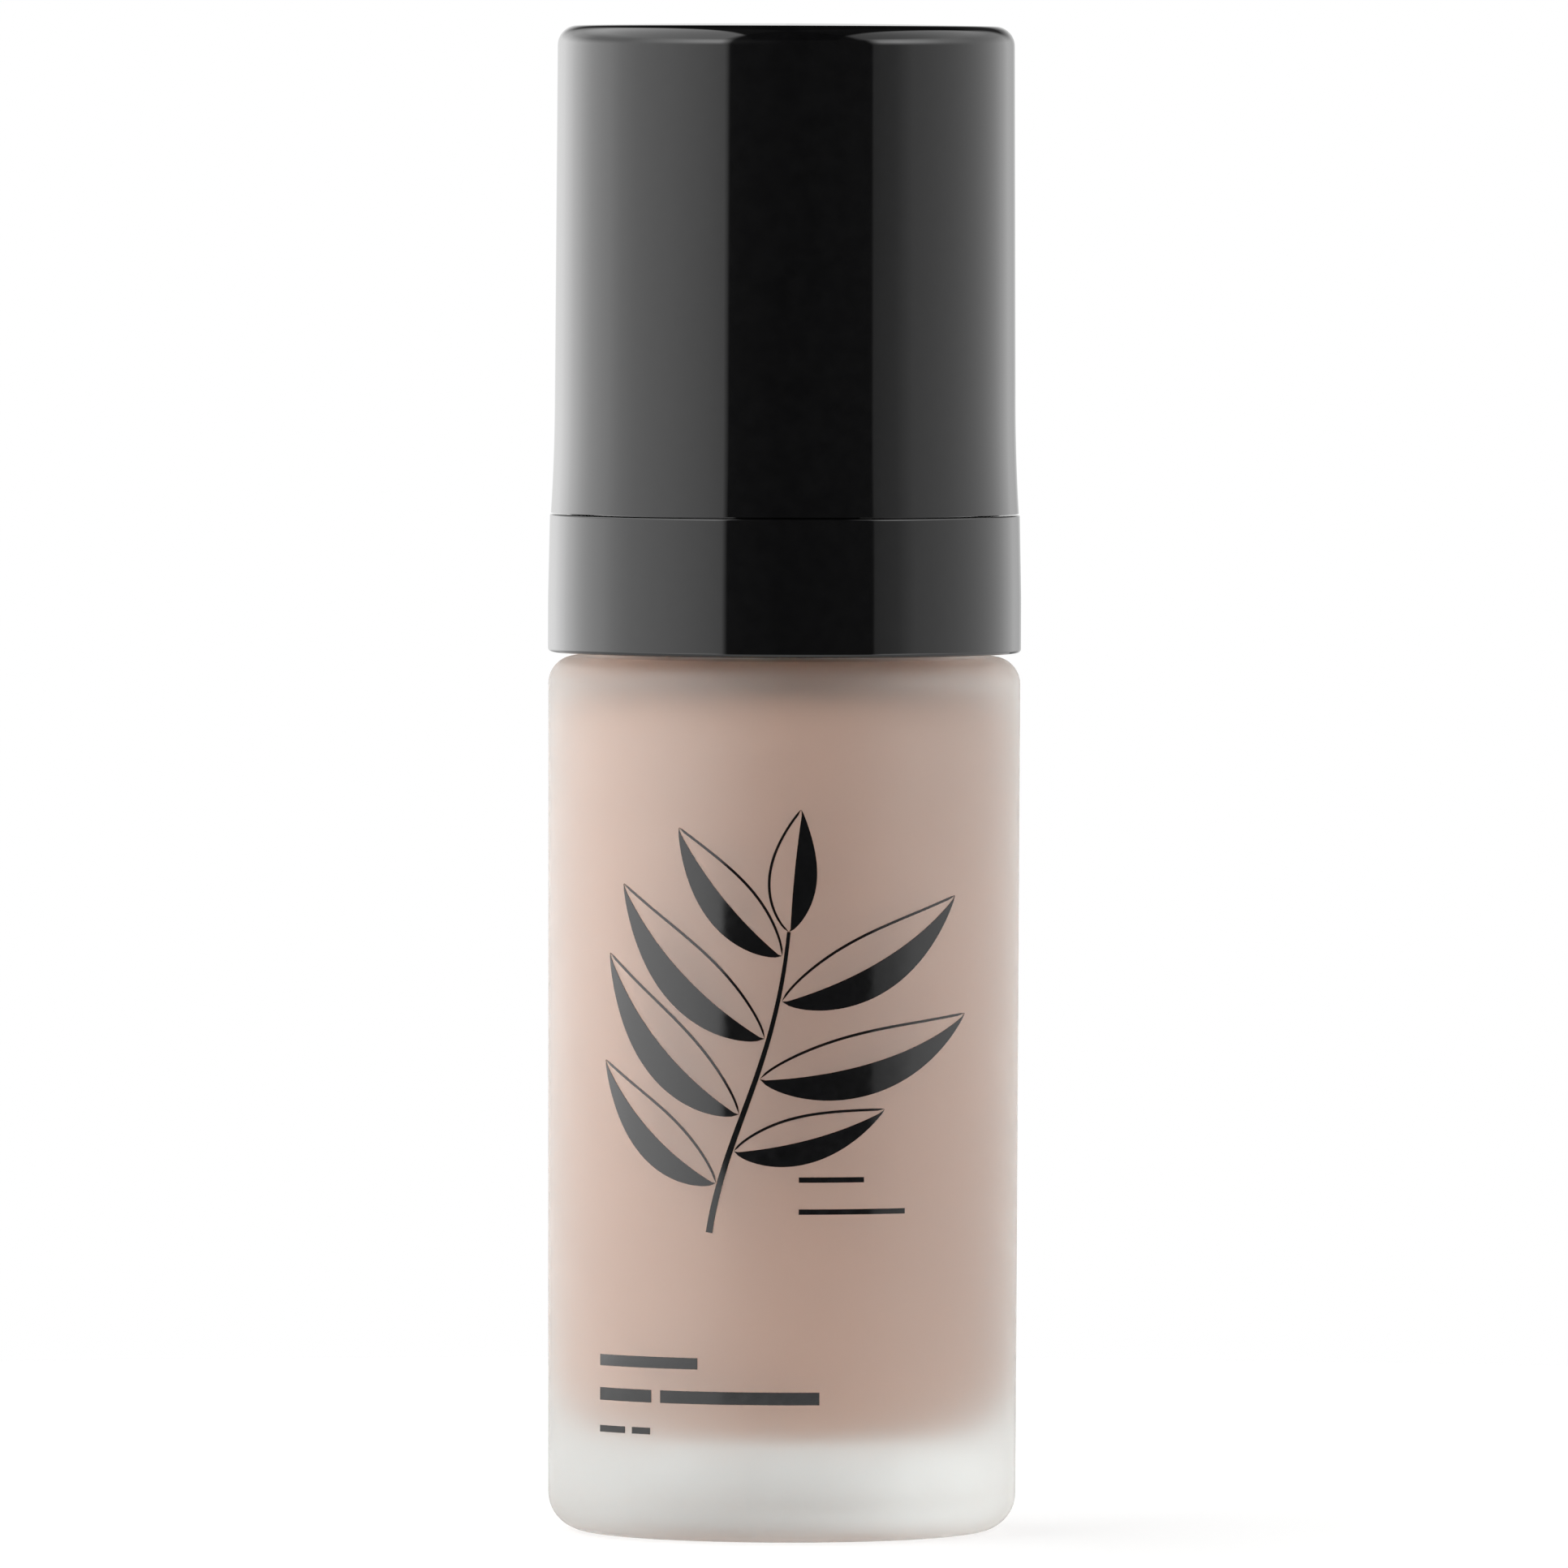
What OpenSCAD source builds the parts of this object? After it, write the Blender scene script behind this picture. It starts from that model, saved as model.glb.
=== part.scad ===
// Foundation bottle: frosted glass body, screw-on treatment pump and pull-off overcap.
// The bottle's axis is Z, the table is z = 0 and the nozzle points to -X.
// Every turned part is drawn as half a section, x for radius and y for height, and revolved.

/* [Bottle] */
// Outside diameter of the glass at its shoulder
bottle_d = 35.7; // [35:0.1:36]
// Outside diameter of the glass at its foot
foot_d = 35.4; // [35:0.1:36]
// Height of the glass shoulder above the table
shoulder_h = 66.2; // [64:0.1:70]
// Thickness of the glass wall at its foot
glass_wall = 3.8; // [3.2:0.05:4]
// Thickness of the glass under the product
base_t = 7.2; // [6:0.1:9]
// Thickness of the glass over the product, under the shoulder
shoulder_t = 1.8; // [1.8:0.1:4]
// Radius of the rounded heel
heel_r = 2.9; // [2:0.1:3.5]
// Radius of the rounded shoulder edge
shoulder_r = 2.1; // [1:0.1:3]
// Depth of the push-up under the base
push_up_h = 0.9; // [0.5:0.1:1.5]
// Height of the air between the liquid and the top of the cavity
headspace = 0.3; // [0.3:0.1:8]

/* [Neck] */
// Height of the neck above the shoulder
neck_h = 9.4; // [9.2:0.1:9.8]
// Diameter of the neck at the root of its thread
neck_d = 17.6; // [17.4:0.1:17.8]
// Diameter of the neck's bore
neck_bore_d = 13; // [12.5:0.1:13.5]
// Height that one full turn of the closure climbs
thread_pitch = 3.175; // [3.1:0.025:3.25]

/* [Collar] */
// Height of the collar's outer band
collar_h = 10.4; // [10:0.1:11]
// Diameter of the collar at its lower edge
collar_d = 35.8; // [35.6:0.1:36]
// Diameter of the collar at the ledge under the overcap
ledge_d = 35.56; // [35.5:0.02:35.6]
// Diameter of the spigot that the overcap slides over
spigot_d = 30; // [29.5:0.1:30]

/* [Overcap] */
// Height of the overcap
cap_h = 37; // [35:0.1:40]
// Diameter of the overcap at its lower edge
cap_foot_d = 35.4; // [35.2:0.05:35.5]
// Diameter of the overcap's wall above the flared foot
cap_wall_d = 34.84; // [34.7:0.02:34.9]
// Diameter of the overcap just below its top edge
cap_top_d = 34.56; // [34.4:0.02:34.7]
// Radius of the overcap's rounded top edge
cap_edge_r = 1.5; // [1:0.1:2]

/* [Pump] */
// Travel of the actuator from rest to fully pressed
stroke = 5.5; // [4:0.1:5.5]
// Travel of the stem before it takes the piston along
lost_motion = 0.95; // [0.8:0.01:1]
// Diameter of the pump chamber's bore
chamber_d = 7.2; // [7.1:0.1:7.3]
// Diameter of the actuator
actuator_d = 17; // [16.5:0.1:17]
// Distance from the bottle's axis to the nozzle's tip
nozzle_reach = 13.6; // [12:0.1:14]

/* [Hidden] */
$fn = 96;
over = 0.1; // how far a cutter or a filler runs past the face it works on
past = 1; // how far a bore's cutter runs past the end of the part
seat_gap = 0.05; // gap between faces that rest on each other
press_gap = 0.03; // gap round a pressed or snapped-in part
slide_gap = 0.06; // gap round a part that slides or turns in its guide

// Colours
frosted = [0.85, 0.86, 0.84, 0.5];
beige = [0.80, 0.66, 0.57];
gloss_black = [0.04, 0.04, 0.045];
matt_black = [0.09, 0.09, 0.095];
natural = [0.90, 0.90, 0.87];
steel = [0.75, 0.76, 0.78];
foam = [0.94, 0.94, 0.92];

// Glass
bottle_r = bottle_d / 2;
foot_r = foot_d / 2;
straight_h = 1; // upright part of the wall next to the heel and to the shoulder edge
cavity_r = foot_r - glass_wall;
neck_r = neck_d / 2;
neck_bore_r = neck_bore_d / 2;
lip_z = shoulder_h + neck_h;
cavity_top_z = shoulder_h - shoulder_t;
fill_z = cavity_top_z - headspace;
floor_corner_r = 5;
ceiling_corner_r = 4;
wall_gap = 0.02; // between the liquid and the glass
push_up_r = 10.6;

// Neck thread and the closure thread that lies just under it
neck_thread_crest_r = neck_r + 0.95;
neck_thread_z = lip_z - 5.3; // height of the middle of the neck's thread at angle 0
neck_thread_start = 20; // angle where the neck's thread begins
neck_thread_turns = 1.1;
closure_root_r = neck_r + 1.25;
closure_crest_r = neck_r + 0.25;
thread_drop = 1.5; // how far the closure's thread lies below the neck's
closure_thread_start = -50; // angle where the closure's thread begins
closure_thread_turns = 1.1;

// Heights of the stack that the closure clamps on the lip
gasket_t = 1;
flange_t = 1.4;
flange_r = neck_r + 0.1;
flange_z = lip_z + gasket_t;
flange_top_z = flange_z + flange_t;
closure_top_z = flange_top_z + 1.3;
closure_z = shoulder_h + 0.8;
closure_r = closure_root_r + 1.55;
closure_hole_r = 5.5;
rib_h = 0.25;
rib_w = 0.6;
rib_count = 24;

// Collar
collar_z = shoulder_h + 0.3;
ledge_z = collar_z + collar_h;
spigot_r = spigot_d / 2;
spigot_top_z = ledge_z + 4.6;
chimney_r = actuator_d / 2 + 0.5;
chimney_top_z = spigot_top_z + 4.9;
bead_z = ledge_z + 2.2; // the bead that snaps into the overcap
bead_h = 0.15;

// Overcap
cap_z = ledge_z + 0.12; // the visible seam above the ledge
cap_top_z = cap_z + cap_h;
cap_crown = 0.18; // rise of the domed top
cap_flare_h = 9;
cap_bore_r = 16.1;
cap_ceiling_z = cap_top_z - 2.1;
liner_r = spigot_r + 0.1;

// Pump
housing_r = 5.1;
chamber_r = chamber_d / 2;
housing_foot_z = lip_z - 36.6;
ledge_in_z = lip_z - 24.1; // the ledge that the spring stands on
stem_stop_z = flange_top_z - 4.5;
guide_r = 4.3;
stem_r = 2.6;
valve_r = 2;
valve_top_z = stem_stop_z - 0.85;
piston_top_z = valve_top_z - lost_motion;
piston_z = piston_top_z - 5.55;
valve_head_t = 0.9;
valve_head_z = piston_z - seat_gap - valve_head_t;
valve_plug_r = 1.55; // the part of the valve that is pressed into the stem
valve_plug_h = 4.3;
stem_bore_r = 1;
tube_r = 1.7;
tube_bore_r = 1.1;
tube_foot_z = base_t + 0.9;
tube_cut = 30; // slant of the cut at the tube's foot

// Inlet ball on its conical seat
ball_r = 1.59;
passage_r = 0.9;
ball_chamber_r = 2.1;
seat_angle = 39.3; // between the seat and the axis
seat_z = ledge_in_z - 4.9;
tube_top_z = seat_z - 1.25;
seat_h = (ball_chamber_r - passage_r) / tan(seat_angle);
ball_z = seat_z + (ball_r * cos(seat_angle) - passage_r) / tan(seat_angle)
    + ball_r * sin(seat_angle) + seat_gap;

// Return spring between the housing's ledge and the head of the valve
wire_r = 0.3;
spring_r = 2.75; // from the axis to the middle of the wire
spring_z = ledge_in_z + seat_gap;
spring_h = valve_head_z - seat_gap - spring_z;
spring_turns = 7.5;
dead_turns = 1; // closed turns at each end

// Actuator
actuator_r = actuator_d / 2;
actuator_z = closure_top_z + stroke + 0.4;
actuator_top_z = actuator_z + 17.8;
actuator_wall = 1.3;
actuator_top_t = 1.4;
core_r = actuator_r - actuator_wall - press_gap;
disc_t = 1.3;
disc_z = actuator_top_z - actuator_top_t - seat_gap - disc_t;
socket_r = 3.4;
stem_top_z = actuator_top_z - 7;
nozzle_z = stem_top_z + 1;
nozzle_r = 2.4;
nozzle_plug_r = 1.6;
nozzle_bore_r = 0.9;
nozzle_tip_r = 0.7;
boss_reach = 5.6; // where the spout's shoulder meets the core, from the bottle's axis
plug_reach = 3.6; // where the spout's plug ends inside the core

// A rectangle between two corners of the half section.
module block(r0, z0, r1, z1) {
    translate([r0, z0]) square([r1 - r0, z1 - z0]);
}

// What rounding takes off the corner at r, z. The part lies towards -side_r and -side_z.
module round_off(r, z, f, side_r, side_z) {
    reach = f + over;
    translate([r - side_r * f, z - side_z * f]) difference() {
        translate([side_r < 0 ? -reach : 0, side_z < 0 ? -reach : 0]) square(reach);
        circle(f);
    }
}

// What a fillet adds in the inner corner at r, z. It grows towards side_r and side_z.
module fill_in(r, z, f, side_r, side_z) {
    translate([r, z]) difference() {
        translate([side_r < 0 ? -f : -over, side_z < 0 ? -f : -over]) square(f + over);
        translate([side_r * f, side_z * f]) circle(f);
    }
}

// Points of an arc, from angle a0 to a1 in steps of n.
function arc(r, z, f, a0, a1, n) =
    [for (i = [0 : n]) let (a = a0 + (a1 - a0) * i / n) [r + f * cos(a), z + f * sin(a)]];

// Joins rings of points into one closed solid. Every ring has the same number of points.
module skin(rings) {
    n = len(rings[0]);
    last = len(rings) - 1;
    polyhedron(
        points = [for (ring = rings) each ring],
        faces = concat(
            [[for (k = [0 : n - 1]) k]],
            [for (i = [0 : last - 1], k = [0 : n - 1])
                let (m = (k + 1) % n) [i * n + k, (i + 1) * n + k, (i + 1) * n + m, i * n + m]],
            [[for (k = [n - 1 : -1 : 0]) last * n + k]]
        ),
        convexity = 6
    );
}

// A right-hand thread ridge, as a trapezoid that runs from buried_r, inside the wall that
// carries it, to crest_r. Its height grows from a third at one end and shrinks at the other.
module thread_ridge(buried_r, crest_r, foot_w, crest_w, z, start, turns) {
    steps = ceil(turns * 40);
    fade_share = 0.1;
    least = 1 / 3;
    outward = crest_r > buried_r;
    wall_r = buried_r + (crest_r - buried_r) / 3;
    skin([
        for (i = [0 : steps])
            let (
                t = i / steps,
                a = start + 360 * turns * t,
                mid = z + thread_pitch * a / 360,
                grow = least + (1 - least) * min(1, t / fade_share, (1 - t) / fade_share),
                top_r = wall_r + (crest_r - wall_r) * grow,
                foot = outward ? foot_w / 2 : -foot_w / 2,
                crest = outward ? crest_w / 2 : -crest_w / 2
            )
            [for (p = [[buried_r, foot], [top_r, crest], [top_r, -crest], [buried_r, -foot]])
                [p[0] * cos(a), p[0] * sin(a), mid + p[1]]]
    ]);
}

// The cavity, drawn in by a gap all round.
module cavity_section(gap) {
    difference() {
        block(0, base_t + gap, cavity_r - gap, cavity_top_z - gap);
        round_off(cavity_r - gap, base_t + gap, floor_corner_r, 1, -1);
        round_off(cavity_r - gap, cavity_top_z - gap, ceiling_corner_r, 1, 1);
    }
}

module glass_section() {
    difference() {
        union() {
            difference() {
                polygon([
                    [0, 0], [foot_r, 0], [foot_r, heel_r + straight_h],
                    [bottle_r, shoulder_h - shoulder_r - straight_h],
                    [bottle_r, shoulder_h], [0, shoulder_h]
                ]);
                round_off(foot_r, 0, heel_r, 1, -1);
                round_off(bottle_r, shoulder_h, shoulder_r, 1, 1);
            }
            block(0, shoulder_h - past, neck_r, lip_z);
            fill_in(neck_r, shoulder_h, 0.7, 1, 1);
        }
        cavity_section(0);
        block(-past, cavity_top_z - past, neck_bore_r, lip_z + past);
        round_off(neck_bore_r, cavity_top_z, 1.2, -1, -1);
        round_off(neck_r, lip_z, 0.5, 1, 1);
        round_off(neck_bore_r, lip_z, 0.4, -1, 1);
    }
}

module glass_bottle() {
    push_up_ball_r = (push_up_r * push_up_r + push_up_h * push_up_h) / (2 * push_up_h);
    color(frosted) {
        difference() {
            rotate_extrude() glass_section();
            rotate_extrude() polygon(concat(
                [[0, -past], [push_up_r, -past]],
                arc(0, push_up_h - push_up_ball_r, push_up_ball_r,
                    acos(push_up_r / push_up_ball_r), 90, 8)
            ));
        }
        thread_ridge(neck_r - 0.47, neck_thread_crest_r, 2.3, 1,
            neck_thread_z, neck_thread_start, neck_thread_turns);
    }
}

module foundation_liquid() {
    room = 0.2; // clearance round the pump
    color(beige) rotate_extrude() difference() {
        cavity_section(wall_gap);
        block(-past, 0, tube_r + room, cavity_top_z);
        block(-past, housing_foot_z - 0.5, housing_r + room, cavity_top_z);
        block(-past, fill_z, bottle_r, cavity_top_z);
    }
}

module neck_gasket() {
    color(foam) rotate_extrude()
        block(housing_r + 0.15, lip_z + seat_gap, flange_r, flange_z - seat_gap);
}

module screw_closure() {
    color(matt_black) {
        rotate_extrude() difference() {
            block(0, closure_z, closure_r, closure_top_z);
            block(-past, closure_z - past, closure_root_r, flange_top_z + press_gap);
            block(-past, closure_z, closure_hole_r, closure_top_z + past);
            round_off(closure_r, closure_top_z, 0.5, 1, 1);
            round_off(closure_root_r, closure_z, 0.4, -1, -1);
        }
        for (i = [0 : rib_count - 1]) rotate([0, 0, i * 360 / rib_count])
            translate([closure_r - rib_h, -rib_w / 2, closure_z + rib_w])
                cube([2 * rib_h, rib_w, closure_top_z - closure_z - 3 * rib_w]);
        thread_ridge(closure_root_r + 0.5, closure_crest_r, 2, 0.8,
            neck_thread_z - thread_drop, closure_thread_start, closure_thread_turns);
    }
}

module collar_sleeve() {
    wall = 1.5;
    panel_t = 1.2;
    panel_z = spigot_top_z - panel_t;
    hub_bore_r = closure_r + rib_h + press_gap;
    chimney_out_r = chimney_r + 1.3;
    ledge_edge_r = 0.12;
    color(gloss_black) rotate_extrude() difference() {
        polygon([
            // Outer band, drafted a little towards the ledge
            [collar_d / 2 - wall, collar_z], [collar_d / 2, collar_z],
            [collar_d / 2, collar_z + collar_h * 0.4],
            [ledge_d / 2, ledge_z - 2 * ledge_edge_r], [ledge_d / 2, ledge_z],
            // Spigot with the bead that snaps into the overcap
            [spigot_r, ledge_z], [spigot_r, bead_z - bead_h], [spigot_r + bead_h / 3, bead_z],
            [spigot_r, bead_z + bead_h], [spigot_r, spigot_top_z],
            // Chimney round the actuator
            [chimney_out_r, spigot_top_z], [chimney_out_r, chimney_top_z],
            [chimney_r, chimney_top_z], [chimney_r, panel_z],
            // Hub that grips the ribs of the screw closure
            [hub_bore_r, panel_z], [hub_bore_r, collar_z + wall],
            [hub_bore_r + 1, collar_z + wall], [hub_bore_r + 1, panel_z],
            // Inside of the spigot and the band
            [spigot_r - wall, panel_z], [spigot_r - wall, ledge_z - wall],
            [collar_d / 2 - wall, ledge_z - wall]
        ]);
        round_off(collar_d / 2, collar_z, 0.3, 1, -1);
        round_off(ledge_d / 2, ledge_z, ledge_edge_r, 1, 1);
        round_off(spigot_r, spigot_top_z, 0.6, 1, 1);
        round_off(chimney_out_r, chimney_top_z, 0.5, 1, 1);
        round_off(chimney_r, chimney_top_z, 0.3, -1, 1);
    }
}

// Radius of the overcap's outside at a height above its foot.
function cap_r(h) =
    h < cap_flare_h
        ? cap_wall_d / 2 + (cap_foot_d - cap_wall_d) / 2 * pow(1 - h / cap_flare_h, 2)
        : cap_wall_d / 2 - (cap_wall_d - cap_top_d) / 2 * (h - cap_flare_h) / (cap_h - cap_flare_h);

module overcap_shell() {
    flare_steps = 6;
    crown_steps = 5;
    edge_z = cap_top_z - cap_crown;
    edge_flat_r = cap_top_d / 2 - cap_edge_r;
    color(gloss_black) rotate_extrude() difference() {
        polygon(concat(
            [[0, cap_z]],
            [for (i = [0 : flare_steps]) let (h = cap_flare_h * i / flare_steps) [cap_r(h), cap_z + h]],
            arc(edge_flat_r, edge_z - cap_edge_r, cap_edge_r, 0, 90, 8),
            [for (i = [crown_steps - 1 : -1 : 0]) let (r = edge_flat_r * i / crown_steps)
                [r, cap_top_z - cap_crown * pow(r / edge_flat_r, 2)]]
        ));
        block(-past, cap_z - past, cap_bore_r, cap_ceiling_z);
        round_off(cap_bore_r, cap_z, 0.3, -1, -1);
    }
}

module overcap_liner() {
    foot_z = cap_z + 0.4;
    outer_r = cap_bore_r - press_gap;
    roof_z = cap_ceiling_z - seat_gap;
    roof_t = 0.9;
    color(matt_black) rotate_extrude() difference() {
        block(0, foot_z, outer_r, roof_z);
        block(-past, foot_z - past, liner_r, roof_z - roof_t);
        round_off(outer_r, roof_z, 0.6, 1, 1);
        round_off(liner_r, foot_z, 0.4, -1, -1);
        // Groove for the spigot's bead
        polygon([[liner_r - over, bead_z - 2 * bead_h], [liner_r + bead_h, bead_z],
                 [liner_r - over, bead_z + 2 * bead_h]]);
    }
}

module pump_housing() {
    cage_bore_r = 1.1;
    cage_z = ledge_in_z - 0.9;
    foot_r = 2.9;
    shoulder_top_z = ledge_in_z + 0.5;
    shoulder_foot_z = seat_z + 0.4;
    color(natural) {
        rotate_extrude() difference() {
            polygon([
                [0, housing_foot_z], [foot_r, housing_foot_z],
                [foot_r + 0.3, shoulder_foot_z], [housing_r, shoulder_top_z],
                [housing_r, flange_z], [flange_r, flange_z],
                [flange_r, flange_top_z], [0, flange_top_z]
            ]);
            block(-past, stem_stop_z - seat_gap, guide_r + press_gap, flange_top_z + past);
            block(-past, ledge_in_z, chamber_r, flange_top_z);
            block(-past, seat_z + seat_h, ball_chamber_r, ledge_in_z + past);
            polygon([[-past, seat_z], [passage_r, seat_z], [ball_chamber_r, seat_z + seat_h],
                     [ball_chamber_r, seat_z + seat_h + over], [-past, seat_z + seat_h + over]]);
            block(-past, housing_foot_z, passage_r, seat_z + over);
            block(-past, housing_foot_z - past, tube_r + press_gap, tube_top_z + seat_gap);
        }
        // Three fingers that keep the ball in its chamber
        for (i = [0 : 2]) rotate([0, 0, 120 * i])
            translate([cage_bore_r, -0.3, cage_z])
                cube([ball_chamber_r + 0.3 - cage_bore_r, 0.6, 0.7]);
    }
}

module stem_guide() {
    bore_r = stem_r + slide_gap;
    turret_r = 5.2;
    turret_top_r = 4;
    cone_z = flange_top_z + 2.3;
    top_z = flange_top_z + 4.3;
    color(natural) rotate_extrude() difference() {
        union() {
            block(bore_r, stem_stop_z, guide_r, flange_top_z + 0.5);
            polygon([[bore_r, flange_top_z + seat_gap], [turret_r, flange_top_z + seat_gap],
                     [turret_r, cone_z], [turret_top_r, top_z], [bore_r, top_z]]);
        }
        round_off(bore_r, stem_stop_z, 0.2, -1, -1);
        round_off(bore_r, top_z, 0.3, -1, 1);
    }
}

module dip_tube() {
    color(natural) difference() {
        translate([0, 0, tube_foot_z]) difference() {
            cylinder(r = tube_r, h = tube_top_z - tube_foot_z);
            translate([0, 0, -past]) cylinder(r = tube_bore_r, h = tube_top_z);
        }
        // The foot is cut at a slant, so that it can't seal against the floor
        translate([0, 0, tube_foot_z]) rotate([0, -tube_cut, 0])
            translate([-3 * tube_r, -3 * tube_r, -6 * tube_r]) cube(6 * tube_r);
    }
}

module inlet_ball() {
    color(steel) translate([0, 0, ball_z]) sphere(ball_r);
}

// Height of the spring's wire after a number of turns: closed at both ends, open between.
function spring_lift(turn) =
    let (
        closed = 2 * wire_r + 0.02,
        open_h = spring_h - 2 * wire_r - 2 * dead_turns * closed,
        open_turns = spring_turns - 2 * dead_turns
    )
    turn < dead_turns ? closed * turn
        : turn < spring_turns - dead_turns
            ? closed * dead_turns + open_h * (turn - dead_turns) / open_turns
            : closed * dead_turns + open_h + closed * (turn - spring_turns + dead_turns);

module return_spring() {
    sides = 8;
    steps = spring_turns * 20;
    color(steel) skin([
        for (i = [0 : steps])
            let (turn = i * spring_turns / steps, a = 360 * turn, z = spring_z + wire_r + spring_lift(turn))
            [for (k = [0 : sides - 1])
                let (b = -360 * k / sides, r = spring_r + wire_r * cos(b))
                [r * cos(a), r * sin(a), z + wire_r * sin(b)]]
    ]);
}

module piston() {
    bore_r = valve_r + 0.08;
    lip_r = chamber_r - 0.05;
    mid_z = (piston_z + piston_top_z) / 2;
    color(natural) rotate_extrude() {
        block(bore_r, piston_z, bore_r + 0.6, piston_top_z);
        block(bore_r + 0.5, mid_z - 0.6, lip_r - 0.4, mid_z + 0.6);
        // Outer sleeve with a sealing lip at each end
        polygon([
            [lip_r - 0.3, piston_z + 0.4], [lip_r, piston_z + 0.5], [lip_r, piston_z + 0.9],
            [lip_r - 0.22, mid_z - 0.8], [lip_r - 0.22, mid_z + 0.8],
            [lip_r, piston_top_z - 0.9], [lip_r, piston_top_z - 0.5], [lip_r - 0.3, piston_top_z - 0.4],
            [lip_r - 0.62, mid_z + 0.8], [lip_r - 0.62, mid_z - 0.8]
        ]);
    }
}

module stem_valve() {
    spigot_z = valve_head_z - 1.6;
    pilot_r = 2.1; // centres the spring
    head_r = 3;
    channel_r = 0.95;
    port_r = 0.45;
    port_z = valve_head_z + valve_head_t + 0.1 + port_r;
    color(natural) difference() {
        rotate_extrude() difference() {
            union() {
                block(0, spigot_z, pilot_r, valve_head_z + over);
                block(0, valve_head_z, head_r, valve_head_z + valve_head_t);
                block(0, valve_head_z, valve_r, valve_top_z - press_gap);
                block(0, valve_head_z, valve_plug_r, valve_top_z + valve_plug_h);
            }
            block(-past, port_z - port_r, channel_r, valve_top_z + valve_plug_h + past);
            round_off(pilot_r, spigot_z, 0.5, 1, -1);
        }
        // Side ports, which the piston covers at rest
        for (turn = [0, 90]) rotate([0, 0, turn]) translate([-2 * valve_r, 0, port_z])
            rotate([0, 90, 0]) cylinder(r = port_r, h = 4 * valve_r);
    }
}

module stem() {
    skirt_r = 3.2; // the skirt that stops the stem under the guide
    color(natural) rotate_extrude() difference() {
        union() {
            block(0, valve_top_z, skirt_r, stem_stop_z - seat_gap);
            block(0, valve_top_z, stem_r, stem_top_z);
        }
        block(-past, valve_top_z - past, valve_plug_r + press_gap,
            valve_top_z + valve_plug_h + seat_gap);
        block(-past, valve_top_z, stem_bore_r, stem_top_z + past);
        round_off(stem_r, stem_top_z, 0.3, 1, 1);
    }
}

// Turns its children's +Z along the nozzle, at a distance from the bottle's axis.
module along_nozzle(reach) {
    translate([-reach, 0, nozzle_z]) rotate([0, -90, 0]) children();
}

module actuator_core() {
    web_t = 0.8;
    web_h = 5;
    color(matt_black) difference() {
        union() {
            rotate_extrude() {
                block(0, actuator_z + 3.3, socket_r, disc_z + over);
                block(0, disc_z, core_r, disc_z + disc_t);
            }
            // Boss that takes the spout, and four webs under the disc
            along_nozzle(nozzle_plug_r) cylinder(r = nozzle_r + 0.6, h = boss_reach - nozzle_plug_r);
            for (turn = [45 : 90 : 315]) rotate([0, 0, turn])
                translate([0, -web_t / 2, disc_z - web_h])
                    cube([core_r - web_t, web_t, web_h + over]);
        }
        cylinder(r = stem_r + slide_gap, h = stem_top_z + 2 * seat_gap);
        cylinder(r = stem_bore_r, h = nozzle_z);
        along_nozzle(0) cylinder(r = nozzle_bore_r, h = boss_reach + past);
        along_nozzle(plug_reach) cylinder(r = nozzle_plug_r + press_gap, h = boss_reach);
    }
}

module actuator_shell() {
    dish_depth = 0.5;
    dish_r = 6.6;
    dish_ball_r = (dish_r * dish_r + dish_depth * dish_depth) / (2 * dish_depth);
    color(gloss_black) difference() {
        rotate_extrude() difference() {
            block(0, actuator_z, actuator_r, actuator_top_z);
            block(-past, actuator_z - past, actuator_r - actuator_wall, actuator_top_z - actuator_top_t);
            round_off(actuator_r, actuator_top_z, 1.1, 1, 1);
            round_off(actuator_r, actuator_z, 0.3, 1, -1);
            polygon(concat(
                [[0, actuator_top_z + past], [dish_r, actuator_top_z + past]],
                arc(0, actuator_top_z - dish_depth + dish_ball_r, dish_ball_r,
                    -acos(dish_r / dish_ball_r), -90, 6)
            ));
        }
        along_nozzle(boss_reach) cylinder(r = nozzle_r + seat_gap, h = actuator_r);
    }
}

module nozzle_spout() {
    // Revolved about the nozzle's own axis, with y as the distance from the bottle's axis
    color(gloss_black) along_nozzle(0) rotate_extrude() difference() {
        union() {
            block(0, plug_reach + 2 * seat_gap, nozzle_plug_r, nozzle_reach);
            block(0, boss_reach + 2 * seat_gap, nozzle_r, nozzle_reach);
        }
        block(-past, 0, nozzle_bore_r, nozzle_reach - 1.2);
        block(-past, 0, nozzle_tip_r, nozzle_reach + past);
        round_off(nozzle_r, nozzle_reach, 0.7, 1, 1);
        round_off(nozzle_tip_r, nozzle_reach, 0.3, -1, 1);
    }
}

glass_bottle();
foundation_liquid();
neck_gasket();
screw_closure();
collar_sleeve();
overcap_shell();
overcap_liner();
pump_housing();
stem_guide();
dip_tube();
inlet_ball();
return_spring();
piston();
stem_valve();
stem();
actuator_core();
actuator_shell();
nozzle_spout();
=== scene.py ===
"""Looks of the foundation bottle: frosted glass, its liquid, glossy black collar and overcap, pump."""

import math

import bpy
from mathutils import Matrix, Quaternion, Vector


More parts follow.
